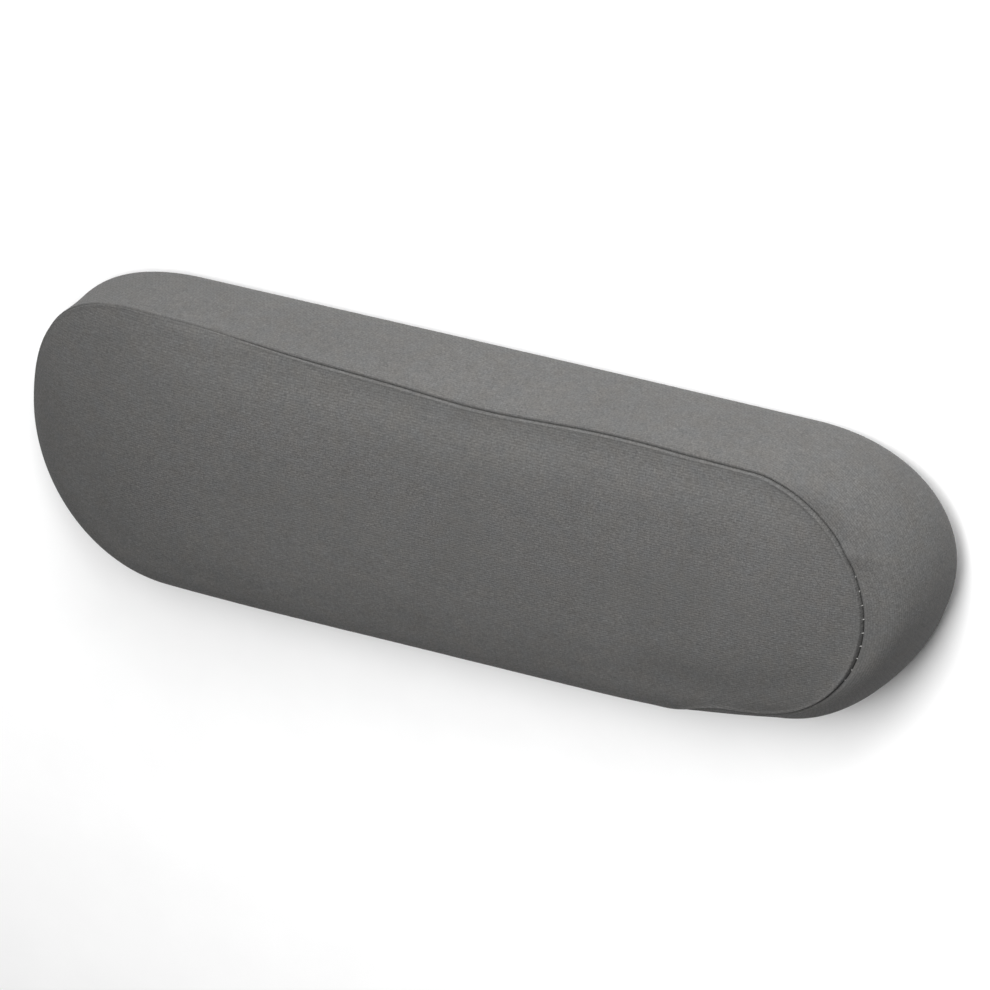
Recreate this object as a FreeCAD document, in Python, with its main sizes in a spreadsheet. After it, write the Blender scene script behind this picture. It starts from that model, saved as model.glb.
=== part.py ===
"""Upholstered chair armrest pad, in millimetres.

The pad lies as it is used: +Z is the arm face, X runs along the pad, and the
origin is the middle of the underside. A plywood board carries four tee nuts,
two layers of foam and a fibre wrap. A sewn fabric cover, made of a top panel
and a side band, goes over them. The band's hem is stapled under the board, and
a dust cloth is stapled over the hem.

Every soft layer follows one cross-section: a crowned arm face, a seam, a side
wall that leans out to its widest line, and a corner that turns under. "depth"
is how far a surface lies inside the cover's outer surface.
"""
import FreeCAD, Part
import math
import os

import Sketcher

SIZES = (
    ("pad_length", 305),
    ("pad_width", 95),
    ("pad_height", 42),
    ("widest_level", 11),
    ("seam_level", 38),
    ("seam_inset", 5),
    ("base_inset", 4.5),
    ("cloth", 1.2),
    ("wadding", 2),
    ("dust_cloth", 0.8),
    ("dust_cloth_inset", 7),
    ("hem_reach", 20),
    ("board_thickness", 12),
    ("board_inset", 5.6),
    ("board_chamfer", 1),
    ("firm_foam_height", 15),
    ("bolts_along", 127),
    ("bolts_across", 38),
    ("bolt_opening", 12),
    ("bolt_relief_diameter", 9),
    ("bolt_relief_depth", 8),
    ("thread_bore", 5),
    ("barrel_diameter", 7.8),
    ("barrel_length", 9.6),
    ("flange_diameter", 19),
    ("flange_thickness", 1.4),
    ("prong_count", 4),
    ("prong_radius", 8.2),
    ("prong_width", 2.4),
    ("prong_thickness", 1),
    ("prong_length", 6),
    ("seam_thread_diameter", 0.7),
    ("join_position", -60),
    ("join_thread_depth", 0.2),
    ("staple_crown", 10),
    ("staple_leg", 8),
    ("staple_wire", 0.6),
    ("staple_band", 1.2),
    ("hem_staple_line", 31.5),
    ("hem_staple_count", 24),
    ("dust_staple_line", 37),
    ("dust_staple_count", 18),
)

AXIS_LENGTH = 10

doc = FreeCAD.newDocument("armrest_pad")
sheet = doc.addObject("Spreadsheet::Sheet", "Sizes")
for row, (alias, number) in enumerate(SIZES, start=1):
    sheet.set(f"A{row}", alias)
    sheet.set(f"B{row}", str(number))
    sheet.setAlias(f"B{row}", alias)
doc.recompute()


# ---- expressions for places on the shared cross-section ----

HALF_STRAIGHT = "(Sizes.pad_length - Sizes.pad_width) / 2"
BOARD_BOTTOM = "(Sizes.dust_cloth + Sizes.cloth)"
BOARD_TOP = f"({BOARD_BOTTOM} + Sizes.board_thickness)"
FOAM_SPLIT = f"({BOARD_TOP} + Sizes.firm_foam_height)"
FOAM_DEPTH = "(Sizes.cloth + Sizes.wadding)"
BOARD_RADIUS = "(Sizes.pad_width / 2 - Sizes.board_inset)"


def value(expression):
    """The number that an expression over the sheet gives now."""
    return float(sheet.evalExpression(expression))


def widest_out(depth):
    return f"(Sizes.pad_width / 2 - {depth})"


def base_out(depth):
    return f"({widest_out(depth)} - Sizes.base_inset)"


def seam_point(depth):
    return (f"({widest_out(depth)} - Sizes.seam_inset)", f"(Sizes.seam_level - {depth})")


def crest_level(depth):
    return f"(Sizes.pad_height - {depth})"


def crown_radius(depth):
    """An arc that is level on the centre line and passes through the seam."""
    rise = "(Sizes.pad_height - Sizes.seam_level)"
    return f"(({seam_point(depth)[0]} ^ 2 + {rise} ^ 2) / (2 * {rise}))"


def wall_radius(depth):
    """An arc that is upright at the widest line and passes through the seam."""
    drop = f"(Sizes.seam_level - {depth} - Sizes.widest_level)"
    return f"((Sizes.seam_inset ^ 2 + {drop} ^ 2) / (2 * Sizes.seam_inset))"


def wall_out(depth, level):
    """How far out the side wall's arc is at a level."""
    radius = wall_radius(depth)
    rise = f"({level} - Sizes.widest_level)"
    return f"({widest_out(depth)} - {radius} + sqrt({radius} ^ 2 - {rise} ^ 2))"


def corner_radius(level):
    """An arc that is upright at the widest line and turns under to a level."""
    drop = f"(Sizes.widest_level - {level})"
    return f"((Sizes.base_inset ^ 2 + {drop} ^ 2) / (2 * Sizes.base_inset))"


# ---- sketch helpers ----

def origin_plane(body, role):
    for feature in body.Origin.OriginFeatures:
        if feature.Role == role:
            return feature
    raise ValueError(role)


def new_sketch(body, name, role, level=None):
    """A sketch on an origin plane, lifted to a level where one is given."""
    sketch = body.newObject("Sketcher::SketchObject", name)
    sketch.AttachmentSupport = [(origin_plane(body, role), "")]
    sketch.MapMode = "FlatFace"
    if level:
        sketch.setExpression("AttachmentOffset.Base.z", level)
    return sketch


def bind(sketch, constraint, expression):
    index = sketch.addConstraint(constraint)
    sketch.setExpression(f"Constraints[{index}]", expression)


def bulged_arc(start, end, radius):
    """The short arc from start to end that bulges to the right of that direction."""
    chord = end - start
    reach = math.sqrt(radius ** 2 - (chord.Length / 2) ** 2)
    left = FreeCAD.Vector(-chord.y, chord.x, 0).normalize()
    centre = (start + end) / 2 + left * reach
    middle = centre - left * radius
    return Part.Arc(start, middle, end)


def closed_outline(sketch, points, radii=None):
    """Joins expression pairs, anticlockwise, by lines, or by an arc where radii has the edge."""
    radii = radii or {}
    places = [FreeCAD.Vector(value(across), value(up), 0) for across, up in points]
    count = len(places)
    for edge, start in enumerate(places):
        end = places[(edge + 1) % count]
        if edge in radii:
            sketch.addGeometry(bulged_arc(start, end, value(radii[edge])), False)
        else:
            sketch.addGeometry(Part.LineSegment(start, end), False)
    for edge in range(count):
        following = (edge + 1) % count
        sketch.addConstraint(Sketcher.Constraint("Coincident", edge, 2, following, 1))
    for edge, (place, (across, up)) in enumerate(zip(places, points)):
        bind(sketch, Sketcher.Constraint("DistanceX", -1, 1, edge, 1, place.x), across)
        bind(sketch, Sketcher.Constraint("DistanceY", -1, 1, edge, 1, place.y), up)
    for edge, radius in radii.items():
        bind(sketch, Sketcher.Constraint("Radius", edge, value(radius)), radius)


def axis_line(sketch, place, upright):
    """A construction line across one of the sketch's own axes, for a feature to turn about."""
    if upright:
        start = FreeCAD.Vector(value(place), 0, 0)
        end = FreeCAD.Vector(value(place), AXIS_LENGTH, 0)
        direction, across, along, base = "Vertical", "DistanceX", "DistanceY", -1
    else:
        start = FreeCAD.Vector(0, value(place), 0)
        end = FreeCAD.Vector(AXIS_LENGTH, value(place), 0)
        direction, across, along, base = "Horizontal", "DistanceY", "DistanceX", -2
    line = sketch.addGeometry(Part.LineSegment(start, end), True)
    sketch.addConstraint(Sketcher.Constraint(direction, line))
    sketch.addConstraint(Sketcher.Constraint("PointOnObject", line, 1, base))
    sketch.addConstraint(Sketcher.Constraint(along, line, 1, line, 2, AXIS_LENGTH))
    bind(sketch, Sketcher.Constraint(across, -1, 1, line, 1, value(place)), place)


def stadium(sketch, radius):
    """Two half circles joined by straight sides, starting in the middle of one side."""
    reach = value(HALF_STRAIGHT)
    size = value(radius)
    corners = [
        FreeCAD.Vector(0, size, 0),
        FreeCAD.Vector(-reach, size, 0),
        FreeCAD.Vector(-reach, -size, 0),
        FreeCAD.Vector(reach, -size, 0),
        FreeCAD.Vector(reach, size, 0),
    ]
    left_end = FreeCAD.Vector(-reach - size, 0, 0)
    right_end = FreeCAD.Vector(reach + size, 0, 0)
    sketch.addGeometry(Part.LineSegment(corners[0], corners[1]), False)
    sketch.addGeometry(Part.Arc(corners[1], left_end, corners[2]), False)
    sketch.addGeometry(Part.LineSegment(corners[2], corners[3]), False)
    sketch.addGeometry(Part.Arc(corners[3], right_end, corners[4]), False)
    sketch.addGeometry(Part.LineSegment(corners[4], corners[0]), False)
    for edge, following in ((0, 1), (1, 2), (2, 3), (3, 4), (4, 0)):
        sketch.addConstraint(Sketcher.Constraint("Coincident", edge, 2, following, 1))
    sketch.addConstraint(Sketcher.Constraint("PointOnObject", 0, 1, -2))
    for arc, side in ((1, -1), (3, 1)):
        sketch.addConstraint(Sketcher.Constraint("PointOnObject", arc, 3, -1))
        bind(sketch, Sketcher.Constraint("DistanceX", -1, 1, arc, 3, side * reach),
             f"{side} * {HALF_STRAIGHT}")
        bind(sketch, Sketcher.Constraint("Radius", arc, size), radius)
    for corner, side in ((1, -1), (2, -1), (3, 1), (4, 1)):
        bind(sketch, Sketcher.Constraint("DistanceX", -1, 1, corner, 1, side * reach),
             f"{side} * {HALF_STRAIGHT}")
    sketch.addConstraint(Sketcher.Constraint("Horizontal", 0))


def bolt_circles(sketch, diameter):
    """One circle at each corner of the bolt rectangle."""
    reach = value("Sizes.bolts_along / 2")
    across = value("Sizes.bolts_across / 2")
    for index, (side_x, side_y) in enumerate(((1, 1), (-1, 1), (-1, -1), (1, -1))):
        centre = FreeCAD.Vector(side_x * reach, side_y * across, 0)
        sketch.addGeometry(Part.Circle(centre, FreeCAD.Vector(0, 0, 1), value(diameter) / 2), False)
        bind(sketch, Sketcher.Constraint("DistanceX", -1, 1, index, 3, centre.x),
             f"{side_x} * Sizes.bolts_along / 2")
        bind(sketch, Sketcher.Constraint("DistanceY", -1, 1, index, 3, centre.y),
             f"{side_y} * Sizes.bolts_across / 2")
        bind(sketch, Sketcher.Constraint("Diameter", index, value(diameter)), diameter)


# ---- feature helpers ----

def new_body(label):
    body = doc.addObject("PartDesign::Body", label)
    body.Label = label
    return body


def add_pad(body, sketch, length, symmetric=False):
    pad = body.newObject("PartDesign::Pad", f"{body.Name}_pad")
    pad.Profile = sketch
    pad.SideType = "Symmetric" if symmetric else "One side"
    pad.setExpression("Length", length)
    doc.recompute()
    return pad


def add_pocket(body, sketch, depth, downward):
    """Cuts to a depth from the sketch's plane, and makes sure that something was cut."""
    before = body.Shape.Volume
    pocket = body.newObject("PartDesign::Pocket", f"{sketch.Name}_pocket")
    pocket.Profile = sketch
    pocket.Reversed = not downward
    pocket.setExpression("Length", depth)
    doc.recompute()
    if body.Shape.Volume >= before:
        raise RuntimeError(f"{sketch.Name} cut nothing")
    return pocket


def stadium_slab(label, radius, bottom, thickness):
    body = new_body(label)
    sketch = new_sketch(body, f"{label}_outline", "XY_Plane", bottom)
    stadium(sketch, radius)
    add_pad(body, sketch, thickness)
    return body


def mirrored_section(points, radii):
    """A half section from the bottom's centre line out and up, followed by its mirror image."""
    mirrored = [(f"-1 * {across}", up) for across, up in reversed(points[1:-1])]
    last = 2 * len(points) - 3
    both = dict(radii)
    for edge, radius in radii.items():
        both[last - edge] = radius
    return points + mirrored, both


def stadium_layer(label, half_points, half_radii):
    """A solid layer of one section: straight in the middle and turned about each end."""
    body = new_body(label)
    straight = new_sketch(body, f"{label}_section", "YZ_Plane")
    closed_outline(straight, *mirrored_section(half_points, half_radii))
    add_pad(body, straight, f"2 * {HALF_STRAIGHT}", symmetric=True)

    turned = new_sketch(body, f"{label}_end_section", "XZ_Plane")
    moved = [(f"({across} + {HALF_STRAIGHT})", up) for across, up in half_points]
    closed_outline(turned, moved, half_radii)
    axis_line(turned, HALF_STRAIGHT, upright=True)

    end = body.newObject("PartDesign::Revolution", f"{label}_end")
    end.Profile = turned
    end.ReferenceAxis = (turned, ["Axis0"])
    end.Angle = 180
    end.Midplane = True
    doc.recompute()

    both_ends = body.newObject("PartDesign::Mirrored", f"{label}_ends")
    both_ends.Originals = [end]
    both_ends.MirrorPlane = (origin_plane(body, "YZ_Plane"), [""])
    body.Tip = both_ends
    doc.recompute()
    return body


def thread_circle(sketch, across, up):
    """The thread's round section, lying just outside a point of the cover."""
    radius = value("Sizes.seam_thread_diameter / 2")
    centre = FreeCAD.Vector(value(across), value(up), 0)
    sketch.addGeometry(Part.Circle(centre, FreeCAD.Vector(0, 0, 1), radius), False)
    bind(sketch, Sketcher.Constraint("DistanceX", -1, 1, 0, 3, centre.x), across)
    bind(sketch, Sketcher.Constraint("DistanceY", -1, 1, 0, 3, centre.y), up)
    bind(sketch, Sketcher.Constraint("Diameter", 0, 2 * radius), "Sizes.seam_thread_diameter")


def make_seam_thread():
    """The thread along the seam, carried once round the pad."""
    body = new_body("seam_thread")
    path = new_sketch(body, "seam_thread_path", "XY_Plane")
    stadium(path, "(Sizes.pad_width / 2)")
    section = new_sketch(body, "seam_thread_section", "YZ_Plane")
    seam_out, seam_up = seam_point("0")
    thread_circle(section, f"({seam_out} + Sizes.seam_thread_diameter / 3)",
                  f"({seam_up} + Sizes.seam_thread_diameter / 2)")
    doc.recompute()
    thread = body.newObject("PartDesign::AdditivePipe", "seam_thread_sweep")
    thread.Profile = section
    thread.Spine = (path, [""])
    thread.Mode = "Frenet"
    doc.recompute()
    return body


def make_join_thread():
    """The thread of the upright seam that closes the band, half sunk in the cloth on the -Y side."""
    body = new_body("band_join_thread")
    section = new_sketch(body, "join_section", "XY_Plane", "Sizes.widest_level")
    thread_circle(section, "Sizes.join_position",
                  "-1 * (Sizes.pad_width / 2 - Sizes.join_thread_depth)")
    to_corner = "(Sizes.seam_level - Sizes.widest_level)"
    to_base = "(Sizes.widest_level - Sizes.dust_cloth)"
    runs = (
        ("join_wall_run", wall_radius("0"), to_corner, True),
        ("join_corner_run", corner_radius("Sizes.dust_cloth"), to_base, False),
    )
    for _, radius, _, _ in runs:
        axis_line(section, f"-1 * (Sizes.pad_width / 2 - {radius})", upright=False)
    for number, (name, radius, drop, downward) in enumerate(runs):
        run = body.newObject("PartDesign::Revolution", name)
        run.Profile = section
        run.ReferenceAxis = (section, [f"Axis{number}"])
        run.Reversed = downward
        run.setExpression("Angle", f"asin(({drop} - 2 * Sizes.seam_thread_diameter) / {radius})")
        doc.recompute()
    return body


def cut(label, base, tools):
    """base without tools, as the finished sub-part."""
    result = base
    for number, tool in enumerate(tools, start=1):
        difference = doc.addObject("Part::Cut", f"{label}_cut_{number}")
        difference.Base = result
        difference.Tool = tool
        result = difference
    doc.recompute()
    result.Label = label
    return result


def group(label, shape, placements):
    """Copies of one piece as a group of separate solids."""
    feature = doc.addObject("Part::Feature", label)
    copies = []
    for placement in placements:
        copy = shape.copy()
        copy.Placement = placement.multiply(copy.Placement)
        copies.append(copy)
    feature.Shape = Part.makeCompound(copies)
    feature.Placement = FreeCAD.Placement()
    feature.Label = label
    return feature


# ---- tee nuts ----

def make_tee_nut():
    """One nut, flange upwards, standing on the top of the board at the origin."""
    body = new_body("tee_nut")
    section = new_sketch(body, "tee_nut_section", "XZ_Plane")
    bore = "Sizes.thread_bore / 2"
    barrel = "Sizes.barrel_diameter / 2"
    flange = "Sizes.flange_diameter / 2"
    under_flange = "-1 * Sizes.flange_thickness"
    bottom = "-1 * (Sizes.flange_thickness + Sizes.barrel_length)"
    closed_outline(section, [
        (bore, bottom),
        (barrel, bottom),
        (barrel, under_flange),
        (flange, under_flange),
        (flange, "0"),
        (bore, "0"),
    ])
    turned = body.newObject("PartDesign::Revolution", "tee_nut_turned")
    turned.Profile = section
    turned.ReferenceAxis = (section, ["V_Axis"])
    turned.Angle = 360
    doc.recompute()

    prong_sketch = new_sketch(body, "prong_section", "XZ_Plane")
    inner = "(Sizes.prong_radius - Sizes.prong_thickness / 2)"
    outer = "(Sizes.prong_radius + Sizes.prong_thickness / 2)"
    tip = "-1 * Sizes.prong_length"
    closed_outline(prong_sketch, [
        (outer, tip),
        (outer, "-1 * Sizes.flange_thickness / 2"),
        (inner, "-1 * Sizes.flange_thickness / 2"),
        (inner, under_flange),
    ])
    prong = add_pad(body, prong_sketch, "Sizes.prong_width", symmetric=True)

    prongs = body.newObject("PartDesign::PolarPattern", "prongs")
    prongs.Originals = [prong]
    prongs.Axis = (prong_sketch, ["V_Axis"])
    prongs.Angle = 360
    prongs.setExpression("Occurrences", "Sizes.prong_count")
    body.Tip = prongs
    doc.recompute()
    return body


def bolt_places():
    reach = value("Sizes.bolts_along / 2")
    across = value("Sizes.bolts_across / 2")
    level = value(BOARD_TOP)
    corners = ((1, 1), (-1, 1), (-1, -1), (1, -1))
    return [
        FreeCAD.Placement(FreeCAD.Vector(side_x * reach, side_y * across, level), FreeCAD.Rotation())
        for side_x, side_y in corners
    ]


# ---- staples ----

def make_staple():
    """One staple, crown along X on the underside plane and legs upwards."""
    body = new_body("staple")
    section = new_sketch(body, "staple_section", "XZ_Plane")
    outer = "Sizes.staple_crown / 2"
    inner = "(Sizes.staple_crown / 2 - Sizes.staple_wire)"
    closed_outline(section, [
        (f"-1 * {outer}", "0"),
        (outer, "0"),
        (outer, "Sizes.staple_leg"),
        (inner, "Sizes.staple_leg"),
        (inner, "Sizes.staple_wire"),
        (f"-1 * {inner}", "Sizes.staple_wire"),
        (f"-1 * {inner}", "Sizes.staple_leg"),
        (f"-1 * {outer}", "Sizes.staple_leg"),
    ])
    add_pad(body, section, "Sizes.staple_band", symmetric=True)
    return body


def round_the_edge(radius, count, level):
    """Evenly spaced placements along a stadium line, each turned along the line."""
    straight = 2 * value(HALF_STRAIGHT)
    bend = math.pi * radius
    spacing = 2 * (straight + bend) / count
    placements = []
    for index in range(count):
        along = (index + 0.5) * spacing
        side = 1
        if along >= straight + bend:
            along -= straight + bend
            side = -1
        if along < straight:
            place = (straight / 2 - along, radius)
            turn = 0
        else:
            turn = (along - straight) / radius
            place = (-straight / 2 - radius * math.sin(turn), radius * math.cos(turn))
        centre = FreeCAD.Vector(side * place[0], side * place[1], level)
        axis = FreeCAD.Vector(0, 0, 1)
        placements.append(FreeCAD.Placement(centre, FreeCAD.Rotation(axis, math.degrees(turn))))
    return placements


# ---- fasteners, made first because the soft pieces are cut round them ----

tee_nut = make_tee_nut()
tee_nuts = group("tee_nuts", tee_nut.Shape, bolt_places())

staple = make_staple()
hem_staples = group("hem_staples", staple.Shape, round_the_edge(
    value("Sizes.hem_staple_line"), int(value("Sizes.hem_staple_count")),
    value("Sizes.dust_cloth - Sizes.staple_wire")))
dust_cover_staples = group("dust_cover_staples", staple.Shape, round_the_edge(
    value("Sizes.dust_staple_line"), int(value("Sizes.dust_staple_count")), 0))
doc.recompute()

# ---- core board: plywood, holes for the barrels and seats for the flanges ----

board_body = stadium_slab("board_blank", BOARD_RADIUS, BOARD_BOTTOM, "Sizes.board_thickness")
bore_sketch = new_sketch(board_body, "barrel_holes", "XY_Plane", BOARD_TOP)
bolt_circles(bore_sketch, "Sizes.barrel_diameter")
add_pocket(board_body, bore_sketch, "Sizes.board_thickness", downward=True)
rim_edges = []
for number, edge in enumerate(board_body.Shape.Edges, start=1):
    low = edge.BoundBox.ZMax < value(BOARD_BOTTOM) + 0.01
    if low and edge.BoundBox.DiagonalLength > 2 * value("Sizes.barrel_diameter"):
        rim_edges.append(f"Edge{number}")
drilled_board = board_body.Tip
rim = board_body.newObject("PartDesign::Chamfer", "board_rim")
rim.Base = (drilled_board, rim_edges)
rim.setExpression("Size", "Sizes.board_chamfer")
doc.recompute()
core_board = cut("core_board", board_body, [tee_nuts, hem_staples, dust_cover_staples])

# ---- foam: a dense layer with room for the bolt ends, and a soft crowned layer ----

foam_radius = wall_radius(FOAM_DEPTH)
firm_body = stadium_layer("firm_foam_blank", [
    ("0", BOARD_TOP),
    (wall_out(FOAM_DEPTH, BOARD_TOP), BOARD_TOP),
    (wall_out(FOAM_DEPTH, FOAM_SPLIT), FOAM_SPLIT),
    ("0", FOAM_SPLIT),
], {1: foam_radius})
relief_sketch = new_sketch(firm_body, "bolt_reliefs", "XY_Plane", BOARD_TOP)
bolt_circles(relief_sketch, "Sizes.bolt_relief_diameter")
add_pocket(firm_body, relief_sketch, "Sizes.bolt_relief_depth", downward=False)
firm_body.Label = "firm_foam"

comfort_foam = stadium_layer("comfort_foam", [
    ("0", FOAM_SPLIT),
    (wall_out(FOAM_DEPTH, FOAM_SPLIT), FOAM_SPLIT),
    seam_point(FOAM_DEPTH),
    ("0", crest_level(FOAM_DEPTH)),
], {1: foam_radius, 2: crown_radius(FOAM_DEPTH)})

# ---- fibre wrap: over the foam and down the board's edge ----

wrap_outside = stadium_layer("wrap_outside", [
    ("0", "Sizes.widest_level"),
    (widest_out("Sizes.cloth"), "Sizes.widest_level"),
    seam_point("Sizes.cloth"),
    ("0", crest_level("Sizes.cloth")),
], {1: wall_radius("Sizes.cloth"), 2: crown_radius("Sizes.cloth")})
wrap_inside = stadium_layer("wrap_inside", [
    ("0", "Sizes.widest_level"),
    (widest_out(FOAM_DEPTH), "Sizes.widest_level"),
    seam_point(FOAM_DEPTH),
    ("0", crest_level(FOAM_DEPTH)),
], {1: foam_radius, 2: crown_radius(FOAM_DEPTH)})
fibre_wrap = cut("fibre_wrap", wrap_outside, [wrap_inside])

# ---- cover: top panel, side band with its hem, and the threads ----

panel_outside = stadium_layer("panel_outside", [
    ("0", seam_point("Sizes.cloth")[1]),
    seam_point("Sizes.cloth"),
    seam_point("0"),
    ("0", crest_level("0")),
], {2: crown_radius("0")})
panel_inside = stadium_layer("panel_inside", [
    ("0", seam_point("Sizes.cloth")[1]),
    seam_point("Sizes.cloth"),
    ("0", crest_level("Sizes.cloth")),
], {1: crown_radius("Sizes.cloth")})
top_panel = cut("top_panel", panel_outside, [panel_inside])

band_outside = stadium_layer("band_outside", [
    ("0", "Sizes.dust_cloth"),
    (base_out("0"), "Sizes.dust_cloth"),
    (widest_out("0"), "Sizes.widest_level"),
    seam_point("0"),
    ("0", seam_point("0")[1]),
], {1: corner_radius("Sizes.dust_cloth"), 2: wall_radius("0")})
band_inside = stadium_layer("band_inside", [
    ("0", BOARD_BOTTOM),
    (base_out("Sizes.cloth"), BOARD_BOTTOM),
    (widest_out("Sizes.cloth"), "Sizes.widest_level"),
    seam_point("Sizes.cloth"),
    seam_point("0"),
    ("0", seam_point("0")[1]),
], {1: corner_radius(BOARD_BOTTOM), 2: wall_radius("Sizes.cloth")})
hem_opening = stadium_slab("hem_opening", "(Sizes.pad_width / 2 - Sizes.hem_reach)", "Sizes.dust_cloth",
                           "Sizes.cloth")
band_join_thread = make_join_thread()
side_band = cut("side_band", band_outside, [
    band_inside, hem_opening, hem_staples, dust_cover_staples, band_join_thread])

seam_thread = make_seam_thread()
# ---- dust cover: closes the underside and leaves the tee nuts open ----

dust_body = stadium_slab("dust_cover_blank", "(Sizes.pad_width / 2 - Sizes.dust_cloth_inset)", "0",
                         "Sizes.dust_cloth")
opening_sketch = new_sketch(dust_body, "bolt_openings", "XY_Plane")
bolt_circles(opening_sketch, "Sizes.bolt_opening")
add_pocket(dust_body, opening_sketch, "Sizes.dust_cloth", downward=False)
dust_cover = cut("dust_cover", dust_body, [hem_staples, dust_cover_staples])

# ---- check and write ----

SUB_PARTS = (
    core_board, tee_nuts, firm_body, comfort_foam, fibre_wrap, top_panel, side_band, seam_thread,
    band_join_thread, hem_staples, dust_cover, dust_cover_staples,
)

doc.recompute()
for item in doc.Objects:
    if "Invalid" in item.State or "Error" in item.State:
        raise RuntimeError(f"{item.Label} failed: {item.State}")
os.makedirs("parts", exist_ok=True)
for item in SUB_PARTS:
    if item.Shape.isNull() or not item.Shape.isValid():
        raise RuntimeError(f"{item.Label} has no valid shape")
    item.Shape.exportStep(f"parts/{item.Label}.step")
    box = item.Shape.BoundBox
    print(f"{item.Label}: {len(item.Shape.Solids)} solids, {item.Shape.Volume:.0f} mm3, "
          f"z {box.ZMin:.2f} to {box.ZMax:.2f}")
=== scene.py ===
"""Looks of the chair armrest pad: its sewn cover, padding, board, fixings and underside, in metres.

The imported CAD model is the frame. Rigid CAD nodes are kept and get finished materials. Every soft node is
replaced by a mesh built here from one cross-section, which is worked out from the frame's own sizes.
"""

import math

import bmesh
import bpy
import numpy as np
from mathutils import Matrix, Vector
from mathutils.kdtree import KDTree


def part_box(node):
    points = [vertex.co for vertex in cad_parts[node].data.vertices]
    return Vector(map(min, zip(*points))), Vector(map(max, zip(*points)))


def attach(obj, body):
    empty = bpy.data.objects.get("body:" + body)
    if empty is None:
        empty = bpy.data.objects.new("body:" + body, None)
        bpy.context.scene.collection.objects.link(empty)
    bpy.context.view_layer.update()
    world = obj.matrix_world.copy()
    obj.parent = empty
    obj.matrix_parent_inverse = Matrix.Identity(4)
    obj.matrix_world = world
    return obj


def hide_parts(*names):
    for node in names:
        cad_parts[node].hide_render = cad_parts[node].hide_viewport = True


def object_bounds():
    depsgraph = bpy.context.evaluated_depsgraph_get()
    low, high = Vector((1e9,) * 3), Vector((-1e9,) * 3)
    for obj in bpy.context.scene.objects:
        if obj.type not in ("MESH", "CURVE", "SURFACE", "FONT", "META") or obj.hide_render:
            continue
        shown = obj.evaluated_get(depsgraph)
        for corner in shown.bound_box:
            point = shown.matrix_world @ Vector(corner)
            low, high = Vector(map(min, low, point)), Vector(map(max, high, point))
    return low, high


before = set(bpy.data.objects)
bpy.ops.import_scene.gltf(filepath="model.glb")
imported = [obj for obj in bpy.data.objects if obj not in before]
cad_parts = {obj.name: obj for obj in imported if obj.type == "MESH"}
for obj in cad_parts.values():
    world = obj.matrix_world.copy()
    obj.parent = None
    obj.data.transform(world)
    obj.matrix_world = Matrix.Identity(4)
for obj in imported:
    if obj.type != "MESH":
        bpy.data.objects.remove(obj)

MM = 0.001
CAD_LOW, CAD_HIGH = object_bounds()

# ---------------------------------------------------------------- sizes taken from the frame
BAND_LOW, BAND_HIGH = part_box("side_band")
PANEL_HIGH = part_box("top_panel")[1]
BOARD_LOW, BOARD_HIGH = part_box("core_board")
FIRM_LOW, FIRM_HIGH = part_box("firm_foam")
COMFORT_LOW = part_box("comfort_foam")[0]
DUST_LOW, DUST_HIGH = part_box("dust_cover")

WIDEST_OUT = BAND_HIGH.y
SPINE_HALF = BAND_HIGH.x - WIDEST_OUT
WIDEST_LEVEL = 11 * MM
BASE_LEVEL = BAND_LOW.z
BASE_OUT = BOARD_HIGH.y + 1.1 * MM
CREST_LEVEL = PANEL_HIGH.z
CORNER_LEVEL = BAND_HIGH.z
CORNER_OUT = PANEL_HIGH.y
CLOTH = 1.2 * MM

# ---------------------------------------------------------------- how the cover is drawn over the foam
# The far side (+Y) has a crisp corner. The near side and the two ends roll over softly.
FAR_CORNER_SOFTNESS = 3.5 * MM
NEAR_CORNER_SOFTNESS = 10 * MM
LEFT_CORNER_SOFTNESS = 20 * MM
RIGHT_CORNER_SOFTNESS = 4.5 * MM
NEAR_CORNER_FULLNESS = 8.8 * MM
LEFT_CORNER_FULLNESS = 11.3 * MM
RIGHT_CORNER_FULLNESS = -0.3 * MM
NEAR_FULL_UNTIL = 47 * MM
NEAR_CROWN_RISE = 2.0 * MM
LEFT_FACE_DROP = 6.5 * MM
LEFT_FACE_DROP_FROM = -55 * MM
WALL_FULLNESS = 1.3 * MM

# The ends aren't true half circles. The left one is fuller in its far quarter and slimmer in its near one,
# and the right one leans towards the far side.
LEFT_FAR_QUARTER = 2.8 * MM
LEFT_NEAR_QUARTER = 0.0 * MM
RIGHT_END_LEAN = 5.0 * MM
RIGHT_END_SHORTER = 1.6 * MM
RIGHT_CORNER_LEAN = 0.25
RIGHT_NEAR_TUCK = 3.0 * MM

# The far corner, and the seam that follows it, runs in a long lazy S. Its fullness falls evenly from left to
# right, with a hollow near the middle and a swell further right.
FAR_FULLNESS_LEFT = 3.8 * MM
FAR_FULLNESS_RIGHT = 1.0 * MM
FAR_HOLLOW = 1.6 * MM
FAR_HOLLOW_AT = 5 * MM
FAR_SWELL = 0.8 * MM
FAR_SWELL_AT = 55 * MM
FAR_WAVE_SPREAD = 26 * MM

# At the left the seam slips down the wall. At the right end it lies well in from the corner, on a half
# circle of its own, and the side band covers the foam's corner there.
SEAM_DROP_LEFT = 3.0 * MM
SEAM_DROP_LEFT_AT = -95 * MM
SEAM_DROP_LEFT_SPREAD = 34 * MM
SEAM_DROP_NEAR = 4.0 * MM
SEAM_CAP_CENTRE = (93.0 * MM, 1.0 * MM)
SEAM_CAP_RADIUS = 42.6 * MM
SEAM_CAP_BLEND = 32 * MM

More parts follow.
